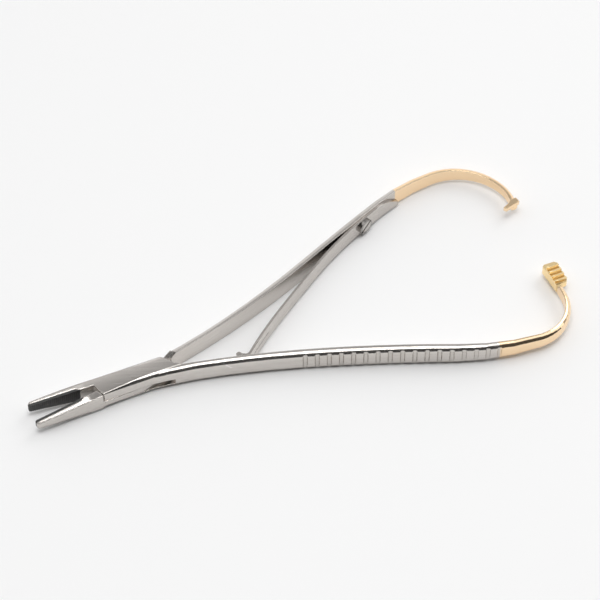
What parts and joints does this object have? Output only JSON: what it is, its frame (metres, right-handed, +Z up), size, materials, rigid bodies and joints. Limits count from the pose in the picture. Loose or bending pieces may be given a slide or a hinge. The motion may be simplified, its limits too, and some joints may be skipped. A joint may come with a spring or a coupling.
{
  "type": "surgical needle holder",
  "caption": "Needle holder with a box lock, hard gripping inserts, grooved handles, an opening leaf spring and an end ratchet.",
  "frame": {"origin": "where the pivot axis meets the box's flat underside, on which the tool rests", "axes": "+Z up along the pivot axis, +X towards the handle ends, -X towards the jaw tips, +Y towards the handle that carries the leaf spring"},
  "size_m": [0.1379, 0.0609, 0.006],
  "materials": {
    "steel": "satin, handle ends gold plated",
    "carbide": "matt, finely serrated",
    "spring_steel": "polished"
  },
  "bodies": {
    "outer_half": {"female_arm": "steel", "female_jaw_insert": "carbide", "pivot_rivet": "steel"},
    "inner_half": {"male_arm": "steel", "male_jaw_insert": "carbide", "leaf_spring": "spring_steel", "spring_screw": "steel"}
  },
  "joints": [
    {"name": "box_lock_hinge", "type": "hinge", "parent": "outer_half", "child": "inner_half", "pos_m": [0, 0, 0.003], "axis": [0, 0, -1], "range_deg": [0, 9.35], "stiffness_Nm_per_rad": 0.8, "deforming": ["leaf_spring"]}
  ]
}
